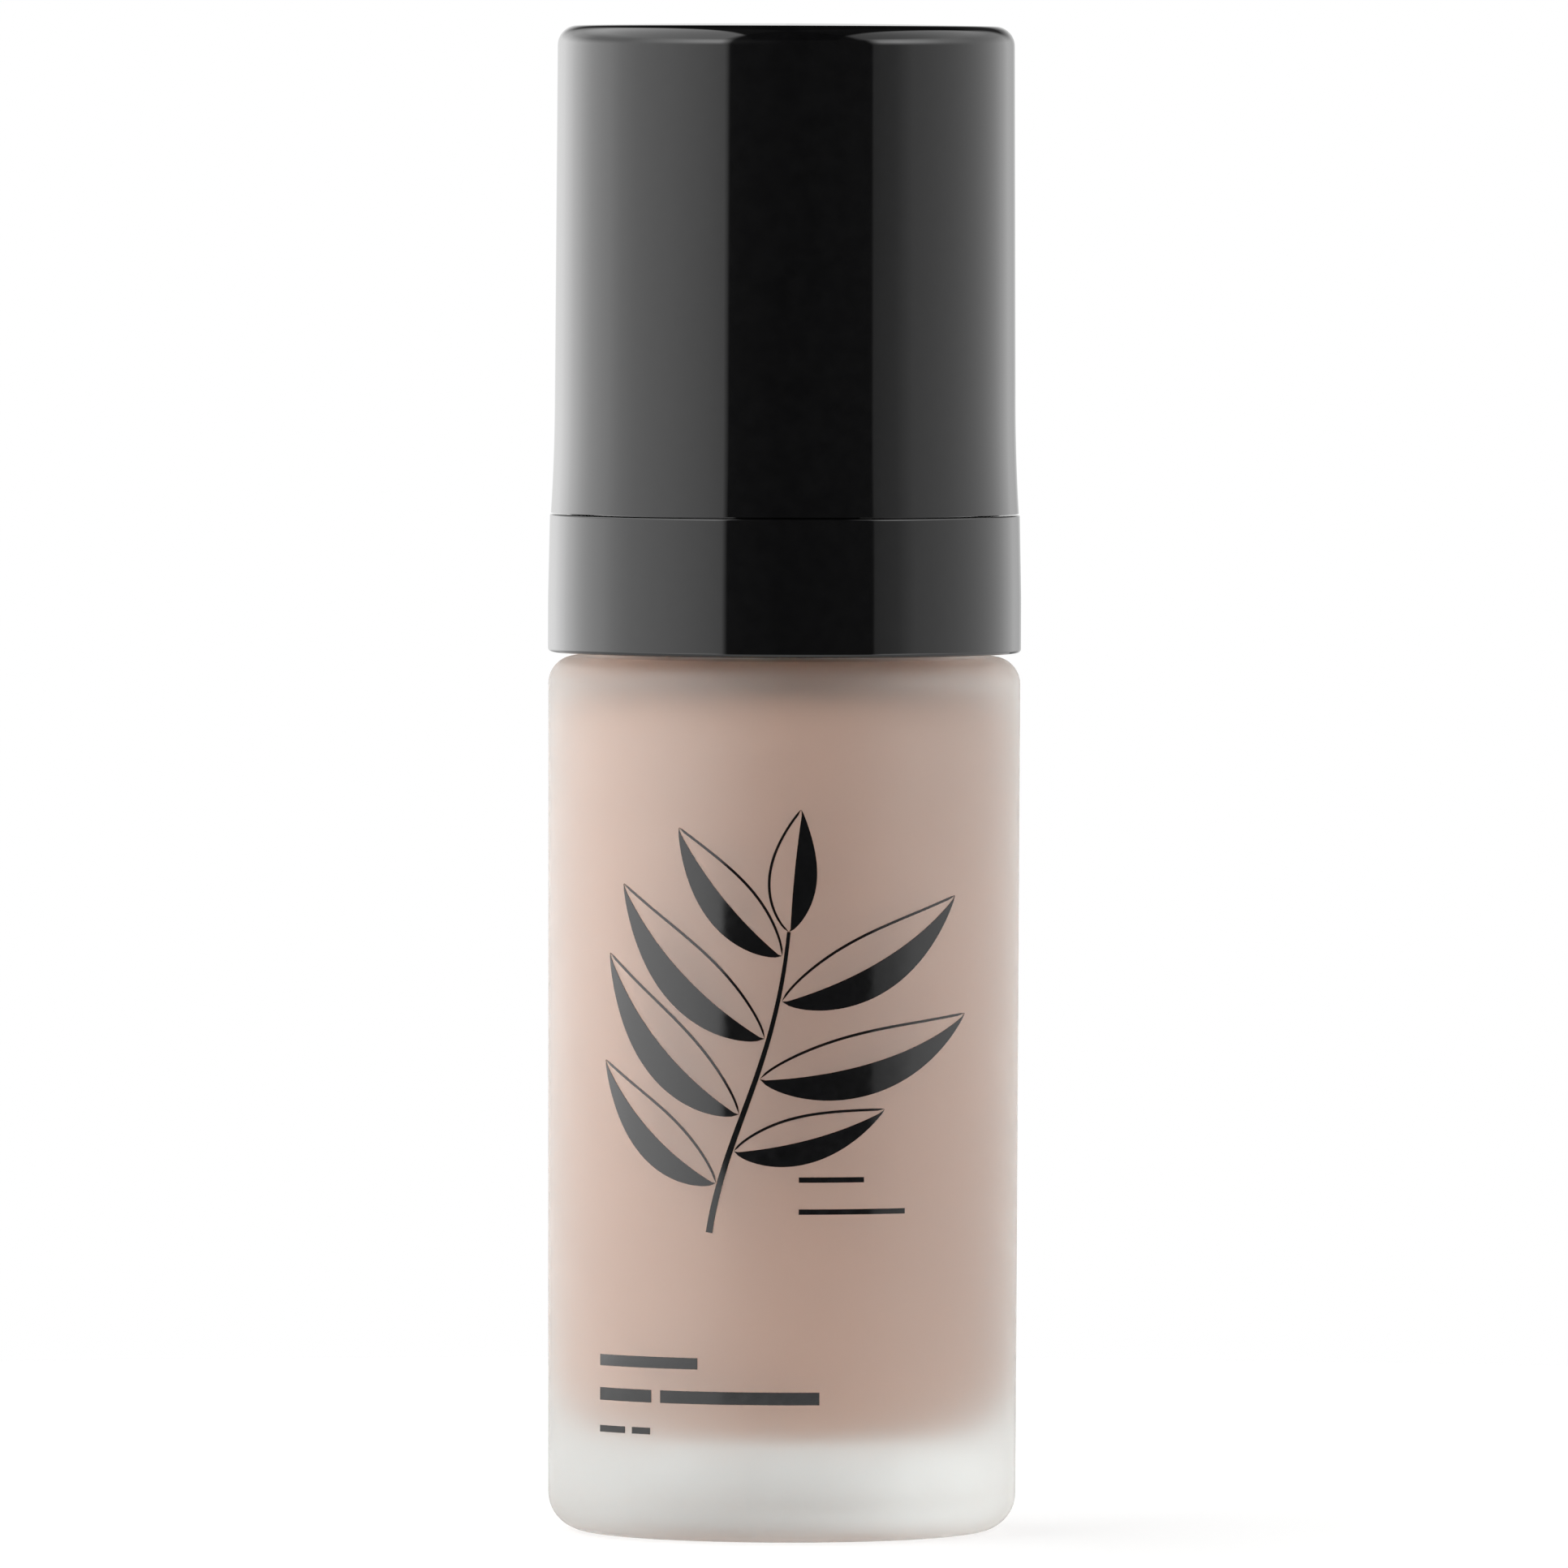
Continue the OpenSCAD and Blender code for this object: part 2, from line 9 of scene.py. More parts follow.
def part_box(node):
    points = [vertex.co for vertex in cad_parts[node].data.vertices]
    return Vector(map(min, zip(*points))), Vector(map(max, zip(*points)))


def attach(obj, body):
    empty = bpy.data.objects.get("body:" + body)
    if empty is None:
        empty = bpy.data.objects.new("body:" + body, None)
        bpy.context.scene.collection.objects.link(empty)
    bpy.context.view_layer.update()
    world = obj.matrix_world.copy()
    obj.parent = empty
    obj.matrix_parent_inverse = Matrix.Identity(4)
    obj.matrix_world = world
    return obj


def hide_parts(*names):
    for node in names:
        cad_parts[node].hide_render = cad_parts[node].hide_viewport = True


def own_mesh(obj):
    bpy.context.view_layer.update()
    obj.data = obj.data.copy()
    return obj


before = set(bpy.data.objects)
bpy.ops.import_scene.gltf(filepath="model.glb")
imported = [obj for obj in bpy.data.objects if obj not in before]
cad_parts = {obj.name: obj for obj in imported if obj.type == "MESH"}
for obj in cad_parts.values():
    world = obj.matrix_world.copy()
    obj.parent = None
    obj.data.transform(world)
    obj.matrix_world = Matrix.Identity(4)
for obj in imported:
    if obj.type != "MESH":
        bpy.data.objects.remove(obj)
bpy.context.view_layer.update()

# Lengths in this script are millimetres unless a name says otherwise.
MM = 0.001
TINY = 1e-6
SECTORS = 192  # faces round a turned piece
SHARP = 28  # degrees: an outline's corner above this stays a crisp edge


def node_box(node):
    """Lowest and highest corner of a CAD node, in millimetres."""
    low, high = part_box(node)
    return Vector(low) / MM, Vector(high) / MM


# ---------------------------------------------------------------- sizes from the frame

GLASS_HIGH = node_box("glass_bottle")[1]
LIQUID_LOW, LIQUID_HIGH = node_box("foundation_liquid")
COLLAR_LOW, COLLAR_HIGH = node_box("collar_sleeve")
CAP_LOW, CAP_HIGH = node_box("overcap_shell")
SPRING_LOW, SPRING_HIGH = node_box("return_spring")
CLOSURE_R = node_box("screw_closure")[1].x
TUBE_R = node_box("dip_tube")[1].x
BUTTON_R = node_box("actuator_shell")[1].x
HOUSING_LOW_Z = node_box("pump_housing")[0].z
HOUSING_R = 5.1  # the part that hangs in the liquid

# Outside of the bottle
COLLAR_GAP = 0.3  # between the shoulder and the collar's foot
TAPER = 0.15  # how much smaller the wall's radius is at the foot
GLASS_R = GLASS_HIGH.x
GLASS_FOOT_R = GLASS_R - TAPER
SHOULDER_Z = COLLAR_LOW.z - COLLAR_GAP
HEEL_R = 2.9
SHOULDER_R = 2.1
TAPER_MARGIN = 1  # from the rounded heel and shoulder to the tapered stretch
PUSH_UP_R, PUSH_UP_H = 10.6, 0.9

# Neck and thread
LIP_Z = GLASS_HIGH.z
LIP_OUTER_R, LIP_INNER_R = 0.5, 0.4  # of the lip's two rounded edges
NECK_R, BORE_R = 8.8, 6.5
NECK_FILLET_R = 0.7
THREAD_PITCH = 3.175
THREAD_TURNS = 1.1
THREAD_H = 0.95  # how far the thread stands out
THREAD_HALF_W = 1.05  # at its root
THREAD_FLANK_W = 0.55  # of one sloping side
THREAD_RUN_OUT = 0.1  # share of its length over which either end fades
THREAD_START = 20  # degrees from +X
THREAD_Z = LIP_Z - 5.3  # its middle's height at +X

# Cavity
LIQUID_GAP = 0.02  # between the CAD's liquid and the glass
CEILING_WALL = 1.8  # glass over the cavity
CAVITY_R = LIQUID_HIGH.x + LIQUID_GAP
CAVITY_FLOOR_Z = LIQUID_LOW.z - LIQUID_GAP
CAVITY_TOP_Z = SHOULDER_Z - CEILING_WALL
FLOOR_CORNER_R, TOP_CORNER_R = 5.0, 4.0
THROAT_R = 1.2  # rounding from the cavity's ceiling into the bore
WETTING = 0.03  # how far the liquid reaches into the glass, so that no air shows between them


# ---------------------------------------------------------------- mesh tools

def arc(r, z, f, a0, a1, steps=8):
    """Points of an arc round (r, z) with radius f, from angle a0 to a1 in degrees."""
    turns = [math.radians(a0 + (a1 - a0) * i / steps) for i in range(steps + 1)]
    return [(r + f * math.cos(t), z + f * math.sin(t)) for t in turns]


def straight(r0, z0, r1, z1, steps):
    """Points between two ends, both left out. The first and the last lie close to the ends, so that
    the smooth shading of a rounded corner next to the wall doesn't spread into it."""
    nearest, most = 0.02, 0.4  # in millimetres, and as a share of one step
    close = min(nearest / math.hypot(r1 - r0, z1 - z0), most / steps)
    shares = [close, *(i / steps for i in range(1, steps)), 1 - close]
    return [(r0 + (r1 - r0) * t, z0 + (z1 - z0) * t) for t in shares]


def new_object(name, verts, faces, slots=None, crisp=()):
    """A smooth-shaded mesh object from millimetre vertices. crisp holds the edges that stay sharp."""
    mesh = bpy.data.meshes.new(name)
    mesh.from_pydata([(x * MM, y * MM, z * MM) for x, y, z in verts], [], faces)
    mesh.update()
    mesh.polygons.foreach_set("use_smooth", [True] * len(mesh.polygons))
    if slots:
        mesh.polygons.foreach_set("material_index", slots)
    if crisp:
        crisp = set(crisp)
        for edge in mesh.edges:
            if tuple(sorted(edge.vertices)) in crisp:
                edge.use_edge_sharp = True
    piece = bpy.data.objects.new(name, mesh)
    bpy.context.scene.collection.objects.link(piece)
    return piece


def lathe(name, outline, bend=None, slots=None):
    """Revolves a closed outline of (r, z) points round Z. The outer wall runs upwards.

    bend(r, z, angle) may return another radius. slots[i] is the material slot of the wall
    that runs from point i to the next. Corners sharper than SHARP get a crisp edge."""
    verts, rings = [], []
    for r, z in outline:
        if r < TINY:
            rings.append([len(verts)] * SECTORS)
            verts.append((0, 0, z))
            continue
        rings.append(list(range(len(verts), len(verts) + SECTORS)))
        for k in range(SECTORS):
            a = 2 * math.pi * k / SECTORS
            here = bend(r, z, a) if bend else r
            verts.append((here * math.cos(a), here * math.sin(a), z))
    faces, face_slots, crisp = [], [], []
    count = len(outline)
    for i in range(count):
        j = (i + 1) % count
        if outline[i][0] < TINY and outline[j][0] < TINY:
            continue
        for k in range(SECTORS):
            m = (k + 1) % SECTORS
            corners = [rings[i][k], rings[i][m], rings[j][m], rings[j][k]]
            faces.append([v for n, v in enumerate(corners) if v not in corners[:n]])
            face_slots.append(slots[i] if slots else 0)
    for i in range(count):
        before, here, after = outline[i - 1], outline[i], outline[(i + 1) % count]
        a = math.atan2(here[1] - before[1], here[0] - before[0])
        b = math.atan2(after[1] - here[1], after[0] - here[0])
        turn = abs((math.degrees(b - a) + 180) % 360 - 180)
        if turn > SHARP and here[0] > TINY:
            ring = rings[i]
            crisp += [tuple(sorted((ring[k], ring[(k + 1) % SECTORS]))) for k in range(SECTORS)]
    return new_object(name, verts, faces, face_slots, crisp)


def wrapped_patches(name, patches, radius_at, front, back):
    """Thin closed shells wrapped round the body, between two distances from its wall.

    A patch is a grid of rows of (s, z) points, where s is the length round the wall from the front."""
    verts, faces, crisp = [], [], []

    def place(s, z, out):
        r = radius_at(z)
        a = s / r - math.pi / 2
        return ((r + out) * math.cos(a), (r + out) * math.sin(a), z)

    for grid in patches:
        rows, cols, first = len(grid), len(grid[0]), len(verts)
        verts += [place(s, z, front) for row in grid for s, z in row]
        verts += [place(s, z, back) for row in grid for s, z in row]
        under = rows * cols

        def at(i, j, layer):
            return first + layer * under + i * cols + j

        for i in range(rows - 1):
            for j in range(cols - 1):
                faces.append([at(i, j, 0), at(i, j + 1, 0), at(i + 1, j + 1, 0), at(i + 1, j, 0)])
                faces.append([at(i, j, 1), at(i + 1, j, 1), at(i + 1, j + 1, 1), at(i, j + 1, 1)])
        rim = [(0, j) for j in range(cols)]
        rim += [(i, cols - 1) for i in range(1, rows)]
        rim += [(rows - 1, j) for j in range(cols - 2, -1, -1)]
        rim += [(i, 0) for i in range(rows - 2, 0, -1)]
        for n, (i, j) in enumerate(rim):
            p, q = rim[(n + 1) % len(rim)]
            faces.append([at(p, q, 0), at(i, j, 0), at(i, j, 1), at(p, q, 1)])
            crisp += [tuple(sorted((at(i, j, layer), at(p, q, layer)))) for layer in (0, 1)]
    return new_object(name, verts, faces, crisp=crisp)


# ---------------------------------------------------------------- material tools

class Look:
    """A Principled material whose patterns are built from object coordinates."""

    def __init__(self, name):
        self.material = bpy.data.materials.new(name)
        self.material.use_nodes = True
        self.tree = self.material.node_tree
        self.shader = self.tree.nodes["Principled BSDF"]
        self.coords = self.tree.nodes.new("ShaderNodeTexCoord").outputs["Object"]

    def set(self, **sockets):
        """Gives the shader's sockets plain values. An underscore in a name stands for a space."""
        for name, value in sockets.items():
            self.shader.inputs[name.replace("_", " ")].default_value = value

    def node(self, kind, **inputs):
        """A node whose inputs are plain values or other nodes' outputs."""
        made = self.tree.nodes.new(kind)
        for name, value in inputs.items():
            socket = made.inputs[name.replace("_", " ")]
            if isinstance(value, bpy.types.NodeSocket):
                self.tree.links.new(value, socket)
            else:
                socket.default_value = value
        return made

    def noise(self, scale, detail=3.0, stretch=(1, 1, 1)):
        """Noise with this many cells a metre, stretched along the axes where stretch is under 1."""
        mapping = self.node("ShaderNodeMapping", Vector=self.coords, Scale=stretch)
        made = self.node("ShaderNodeTexNoise", Vector=mapping.outputs[0], Scale=scale, Detail=detail)
        return made.outputs[0]

    def spread(self, value, low, high, at=(0.3, 0.7)):
        """Maps a noise's middle range to low..high."""
        return self.node("ShaderNodeMapRange", Value=value, From_Min=at[0], From_Max=at[1],
                         To_Min=low, To_Max=high).outputs[0]

    def upwards(self, low, high, at):
        """A value that goes from low to high between two heights in millimetres."""
        place = self.node("ShaderNodeSeparateXYZ", Vector=self.coords)
        return self.spread(place.outputs[2], low, high, (at[0] * MM, at[1] * MM))

    def link(self, value, socket):
        self.tree.links.new(value, self.shader.inputs[socket])

    def colour(self, pattern, dark, light):
        """Base colour that goes from dark to light with a pattern."""
        mix = self.tree.nodes.new("ShaderNodeMix")
        mix.data_type = "RGBA"
        share, first, second = mix.inputs[0], mix.inputs[6], mix.inputs[7]
        self.tree.links.new(self.spread(pattern, 0, 1), share)
        first.default_value = (*dark, 1)
        second.default_value = (*light, 1)
        self.link(mix.outputs[2], "Base Color")

    def roughness(self, pattern, low, high):
        """Roughness that goes from low to high with a pattern."""
        self.link(self.spread(pattern, low, high), "Roughness")

    def bump(self, height, distance):
        """Relief from a pattern, as deep as a distance in metres."""
        made = self.node("ShaderNodeBump", Height=height, Strength=1.0, Distance=distance)
        self.link(made.outputs[0], "Normal")


def gloss_black(name):
    """Polished black moulding: nearly a mirror, with faint drawn streaks and a film of dust."""
    look = Look(name)
    look.set(IOR=1.5)
    look.colour(look.noise(900, 4), (0.0028, 0.0028, 0.003), (0.0042, 0.0042, 0.0044))
    look.roughness(look.noise(260), 0.035, 0.06)
    look.bump(look.noise(1500, 2, (1, 1, 0.012)), 6e-7)
    return look.material


def matt_black(name):
    """Black moulding with a fine spark-eroded grain."""
    look = Look(name)
    look.set(IOR=1.47)
    look.colour(look.noise(400), (0.010, 0.010, 0.0105), (0.016, 0.016, 0.0165))
    look.roughness(look.noise(1100), 0.42, 0.58)
    look.bump(look.noise(5200), 4e-6)
    return look.material


def natural_plastic(name):
    """Milky polypropylene, a little translucent, with flow marks."""
    look = Look(name)
    look.set(IOR=1.49, Subsurface_Weight=0.25, Subsurface_Scale=0.0008)
    look.colour(look.noise(300, 2, (1, 1, 0.2)), (0.70, 0.70, 0.66), (0.80, 0.80, 0.77))
    look.roughness(look.noise(900), 0.28, 0.42)
    look.bump(look.noise(3000, 2), 1.5e-6)
    return look.material


def tube_plastic(name):
    """Clearer polyethylene with the drawing lines of its extrusion."""
    look = Look(name)
    look.set(IOR=1.51, Transmission_Weight=0.6)
    look.colour(look.noise(500), (0.80, 0.81, 0.80), (0.88, 0.89, 0.88))
    look.roughness(look.noise(2000, 2, (1, 1, 0.05)), 0.22, 0.36)
    look.bump(look.noise(4000, 2, (1, 1, 0.03)), 1e-6)
    return look.material


def steel(name, dull, bright, rough, lines):
    """Bare steel with fine drawing lines, this many a metre."""
    look = Look(name)
    look.set(Metallic=1.0, IOR=2.5)
    look.colour(look.noise(1500), dull, bright)
    look.roughness(look.noise(2500), rough * 0.8, rough * 1.3)
    look.bump(look.noise(lines, 2, (1, 1, 0.3)), 1e-6)
    return look.material


def foam(name):
    """Closed-cell liner foam."""
    look = Look(name)
    look.set(IOR=1.45)
    cells = look.noise(4200, 2)
    look.colour(cells, (0.66, 0.66, 0.63), (0.80, 0.80, 0.77))
    look.roughness(look.noise(800), 0.7, 0.85)
    look.bump(cells, 2e-5)
    return look.material


def frosted_glass(name):
    """Acid-etched glass: an even matt scatter with a fine grain and slightly uneven etching.

    A trace of metal stands for the light that the etched skin throws straight back. It fades
    towards the shoulder, as painted shade under the collar."""
    look = Look(name)
    look.set(IOR=1.5, Transmission_Weight=0.96)
    # Painted shade: the metal's sheen is weaker just under the collar, towards the shoulder.
    fade = (SHOULDER_Z - 6, SHOULDER_Z - 1)
    look.link(look.upwards(0.11, 0.03, fade), "Metallic")
    look.colour(look.noise(70), (0.785, 0.825, 0.818), (0.805, 0.845, 0.838))
    look.roughness(look.noise(240, 4), 0.57, 0.63)
    look.bump(look.noise(6500, 2), 1.2e-6)
    return look.material


def clear_glass(name):
    """The unetched inside of the bottle, with faint waves from blowing."""
    look = Look(name)
    look.set(IOR=1.5, Transmission_Weight=1.0)
    look.colour(look.noise(60), (0.97, 0.98, 0.97), (0.985, 0.99, 0.98))
    look.roughness(look.noise(150), 0.0, 0.03)
    look.bump(look.noise(180, 1), 2e-6)
    return look.material


def liquid_foundation(name):
    """Opaque beige emulsion, slightly uneven where it has settled."""
    look = Look(name)
    look.set(IOR=1.4, Specular_IOR_Level=0.15)
    look.colour(look.noise(55, 4, (1, 1, 0.45)), (0.60, 0.338, 0.238), (0.66, 0.38, 0.272))
    look.roughness(look.noise(300), 0.35, 0.5)
    look.bump(look.noise(90, 2), 1e-5)
    return look.material


def printed_ink(name):
    """Thick glossy screen-print ink with the faint mesh of the screen in its surface."""
    look = Look(name)
    look.set(IOR=1.65)
    look.colour(look.noise(2500), (0.0028, 0.0028, 0.003), (0.005, 0.005, 0.0054))
    look.roughness(look.noise(1200), 0.08, 0.15)
    look.bump(look.noise(5500, 2), 8e-7)
    return look.material


def floor_paper(name):
    """Pale seamless paper, self-lit as a backlit sweep is."""
    look = Look(name)
    look.set(Roughness=0.9, IOR=1.3, Emission_Color=(1, 1, 1, 1), Emission_Strength=0.77)
    look.colour(look.noise(30), (0.22, 0.22, 0.216), (0.24, 0.24, 0.236))
    look.bump(look.noise(900), 2e-5)
    return look.material


def dress(piece, *materials):
    """Puts materials in a piece's slots, in their order."""
    piece.data.materials.clear()
    for material in materials:
        piece.data.materials.append(material)


# ---------------------------------------------------------------- pieces

def body_radius(z):
    """Radius of the glass wall at a height."""
    low, high = HEEL_R + TAPER_MARGIN, SHOULDER_Z - SHOULDER_R - TAPER_MARGIN
    share = min(1, max(0, (z - low) / (high - low)))
    return GLASS_FOOT_R + (GLASS_R - GLASS_FOOT_R) * share


def thread_radius(r, z, angle):
    """The neck's radius, larger where its thread runs, and any other radius as it is."""
    if abs(r - NECK_R) > TINY:
        return r
    best = 0
    for turn in range(-1, 3):
        along = math.degrees(angle) + 360 * turn - THREAD_START
        share = along / (360 * THREAD_TURNS)
        if 0 <= share <= 1:
            fade = min(1, share / THREAD_RUN_OUT, (1 - share) / THREAD_RUN_OUT)
            mid = THREAD_Z + THREAD_PITCH * (along + THREAD_START) / 360
            flank = (THREAD_HALF_W - abs(z - mid)) / THREAD_FLANK_W
            best = max(best, min(1, max(0, flank)) * THREAD_H * fade)
    return r + best


def make_bottle():
    """Bottle with a shallow push-up, rounded heel and shoulder, threaded neck and an inner cavity."""
    dome_r = (PUSH_UP_R ** 2 + PUSH_UP_H ** 2) / (2 * PUSH_UP_H)
    edge = math.degrees(math.acos(PUSH_UP_R / dome_r))
    high = SHOULDER_Z - SHOULDER_R
    outside = arc(0, PUSH_UP_H - dome_r, dome_r, 90, edge, 10)
    outside += arc(GLASS_FOOT_R - HEEL_R, HEEL_R, HEEL_R, -90, 0, 14)
    outside += straight(GLASS_FOOT_R, HEEL_R + TAPER_MARGIN, GLASS_R, high - TAPER_MARGIN, 30)
    outside += arc(GLASS_R - SHOULDER_R, high, SHOULDER_R, 0, 90, 12)
    outside += arc(NECK_R + NECK_FILLET_R, SHOULDER_Z + NECK_FILLET_R, NECK_FILLET_R, -90, -180, 4)
    outside += straight(NECK_R, SHOULDER_Z + NECK_FILLET_R, NECK_R, LIP_Z - LIP_OUTER_R, 56)
    outside += arc(NECK_R - LIP_OUTER_R, LIP_Z - LIP_OUTER_R, LIP_OUTER_R, 0, 90, 4)
    outside += arc(BORE_R + LIP_INNER_R, LIP_Z - LIP_INNER_R, LIP_INNER_R, 90, 180, 4)
    floor_z, ceiling_z = CAVITY_FLOOR_Z + FLOOR_CORNER_R, CAVITY_TOP_Z - TOP_CORNER_R
    inside = arc(BORE_R + THROAT_R, CAVITY_TOP_Z + THROAT_R, THROAT_R, 180, 270, 6)
    inside += arc(CAVITY_R - TOP_CORNER_R, ceiling_z, TOP_CORNER_R, 90, 0, 10)
    inside += straight(CAVITY_R, ceiling_z, CAVITY_R, floor_z, 12)
    inside += arc(CAVITY_R - FLOOR_CORNER_R, floor_z, FLOOR_CORNER_R, 0, -90, 10)
    inside.append((0, CAVITY_FLOOR_Z))
    etched, clear = 0, 1
    slots = [etched] * (len(outside) - 1) + [clear] * (len(inside) + 1)
    piece = lathe("bottle_glass", outside + inside, thread_radius, slots)
    dress(piece, frosted_glass("etched glass"), clear_glass("clear glass"))
    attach(piece, "bottle")
    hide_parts("glass_bottle")


def make_liquid():
    """The liquid wets the whole cavity, its ceiling too, round a stepped hole for the pump."""
    r = CAVITY_R + WETTING
    floor = CAVITY_FLOOR_Z - WETTING
    top = CAVITY_TOP_Z + WETTING
    room, below = 0.2, 0.5  # round the pump, and under its housing
    tube_r, housing_r = TUBE_R + room, HOUSING_R + room
    step_z = HOUSING_LOW_Z - below
    corner_r = TOP_CORNER_R + WETTING
    corner_z = CAVITY_TOP_Z - TOP_CORNER_R
    meniscus = ((1.2, 0), (0.5, 0.06), (0, 0.25))  # distance from the hole, and rise
    outline = arc(r - FLOOR_CORNER_R, floor + FLOOR_CORNER_R, FLOOR_CORNER_R, -90, 0, 10)
    outline += straight(r, floor + FLOOR_CORNER_R, r, corner_z, 14)
    outline += arc(r - corner_r, corner_z, corner_r, 0, 90, 10)
    outline += [(housing_r + away, top + rise) for away, rise in meniscus]
    outline += [(housing_r, step_z), (tube_r, step_z), (tube_r, floor)]
    piece = lathe("liquid_fill", outline)
    dress(piece, liquid_foundation("liquid foundation"))
    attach(piece, "bottle")
    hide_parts("foundation_liquid")


def make_collar():
    """Outer collar: drafted band, ledge, spigot with its bead, chimney and hub."""
    seam, draft = 0.12, 0.12  # gap under the overcap's foot, and how much smaller the ledge is
    low, ledge, top = COLLAR_LOW.z, CAP_LOW.z - seam, COLLAR_HIGH.z
    foot_r, ledge_r, spigot_r = COLLAR_HIGH.x, COLLAR_HIGH.x - draft, 15.0
    plumb_h, spigot_h, bead_h = 4.16, 4.6, 2.2  # heights of the undrafted wall, spigot and bead
    plumb_z, spigot_top, bead_z = low + plumb_h, ledge + spigot_h, ledge + bead_h
    bead_half_h, bead_out = 0.15, 0.05
    wall, panel, hub_wall, chimney_wall = 1.5, 1.2, 1, 1.3
    play, hub_gap = 0.5, 0.03  # round the button, and round the closure
    chimney_r = BUTTON_R + play
    chimney_out_r = chimney_r + chimney_wall
    hub_r = CLOSURE_R + hub_gap
    foot_round, ledge_round, spigot_round = 0.3, 0.12, 0.6
    chimney_round, mouth_round = 0.5, 0.3
    under = spigot_top - panel
    outline = arc(foot_r - foot_round, low + foot_round, foot_round, -90, 0, 8)
    outline += straight(foot_r, low + foot_round, foot_r, plumb_z, 4)
    outline += [(foot_r, plumb_z)]
    outline += straight(foot_r, plumb_z, ledge_r, ledge - 2 * ledge_round, 8)
    outline += arc(ledge_r - ledge_round, ledge - ledge_round, ledge_round, 0, 90, 4)
    outline += [(spigot_r, ledge), (spigot_r, bead_z - bead_half_h), (spigot_r + bead_out, bead_z),
                (spigot_r, bead_z + bead_half_h)]
    outline += arc(spigot_r - spigot_round, spigot_top - spigot_round, spigot_round, 0, 90, 6)
    outline += [(chimney_out_r, spigot_top)]
    outline += arc(chimney_out_r - chimney_round, top - chimney_round, chimney_round, 0, 90, 6)
    outline += arc(chimney_r + mouth_round, top - mouth_round, mouth_round, 90, 180, 5)
    outline += [(chimney_r, under), (hub_r, under), (hub_r, low + wall),
                (hub_r + hub_wall, low + wall), (hub_r + hub_wall, under),
                (spigot_r - wall, under), (spigot_r - wall, ledge - wall),
                (foot_r - wall, ledge - wall), (foot_r - wall, low)]
    piece = lathe("collar_band", outline)
    dress(piece, gloss_black("collar black"))
    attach(piece, "closure")
    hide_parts("collar_sleeve")


def make_overcap():
    """Overcap: flared foot, drafted wall, rounded edge and slightly domed top."""
    low, top = CAP_LOW.z, CAP_HIGH.z
    foot_r, wall_r, top_r, bore_r = CAP_HIGH.x, 17.42, 17.28, 16.1
    flare_h, flare_steps = 9.0, 18
    edge_r, rim_r = 1.5, 0.3  # roundings at the top edge and at the bore's mouth
    crown, roof = 0.18, 2.1  # rise of the dome, and thickness of the top
    near_edge = 0.998  # the dome's first ring, close to the edge for the shading's sake
    outline = []
    for i in range(flare_steps + 1):
        h = flare_h * i / flare_steps
        outline.append((wall_r + (foot_r - wall_r) * (1 - h / flare_h) ** 2, low + h))
    edge_z = top - crown - edge_r
    outline += straight(wall_r, low + flare_h, top_r, edge_z, 16)
    outline += arc(top_r - edge_r, edge_z, edge_r, 0, 90, 14)
    flat_r = top_r - edge_r
    shares = (near_edge, *(i / 10 for i in range(9, -1, -1)))
    outline += [(flat_r * t, top - crown * t ** 2) for t in shares]
    outline += [(0, top - roof), (bore_r, top - roof)]
    outline += straight(bore_r, top - roof, bore_r, low + rim_r, 12)
    outline += arc(bore_r + rim_r, low + rim_r, rim_r, 180, 270, 4)
    piece = lathe("overcap", outline)
    dress(piece, gloss_black("overcap black"))
    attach(piece, "overcap")
    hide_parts("overcap_shell")


def make_spring():
    """Compression spring of round wire, with a closed turn at each end."""
    wire_r, gap = 0.3, 0.02  # gap between the closed turns
    middle_r = SPRING_HIGH.x - wire_r
    turns, dead = 7.5, 1  # dead turns are the closed ones at either end
    sides, steps = 16, 64  # faces round the wire, and rings in a turn
    closed = 2 * wire_r + gap  # rise of a closed turn
    low = SPRING_LOW.z + wire_r
    rise = SPRING_HIGH.z - SPRING_LOW.z - 2 * wire_r
    open_rise = rise - 2 * dead * closed
    rings = []
    for i in range(int(turns * steps) + 1):
        turn = i / steps
        opened = min(max(turn - dead, 0), turns - 2 * dead)
        z = low + closed * (turn - opened) + open_rise * opened / (turns - 2 * dead)
        a = 2 * math.pi * turn
        ring = []
        for k in range(sides):
            b = 2 * math.pi * k / sides
            r = middle_r + wire_r * math.cos(b)
            ring.append((r * math.cos(a), r * math.sin(a), z + wire_r * math.sin(b)))
        rings.append(ring)
    verts = [v for ring in rings for v in ring]
    faces = []
    for i in range(len(rings) - 1):
        for k in range(sides):
            m = (k + 1) % sides
            faces.append([i * sides + k, (i + 1) * sides + k, (i + 1) * sides + m, i * sides + m])
    last = (len(rings) - 1) * sides
    faces.append(list(range(sides)))
    faces.append([last + k for k in range(sides - 1, -1, -1)])
    ends = [(base + k, base + (k + 1) % sides) for base in (0, last) for k in range(sides)]
    crisp = [tuple(sorted(edge)) for edge in ends]
    piece = new_object("spring_coil", verts, faces, crisp=crisp)
    dress(piece, steel("spring wire", (0.50, 0.50, 0.51), (0.62, 0.62, 0.63), 0.28, 6000))
    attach(piece, "pump")
    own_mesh(piece)
    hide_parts("return_spring")


# ---------------------------------------------------------------- print

PRINT_FRONT, PRINT_BACK = 0.04, 0.004  # the ink's two faces, both outside the glass
# The branch's stem as a Bezier curve: (length round the wall from the front, height)
STEM = ((-5.6, 23.4), (-4.4, 31.0), (-0.6, 35.5), (0.4, 46.0))
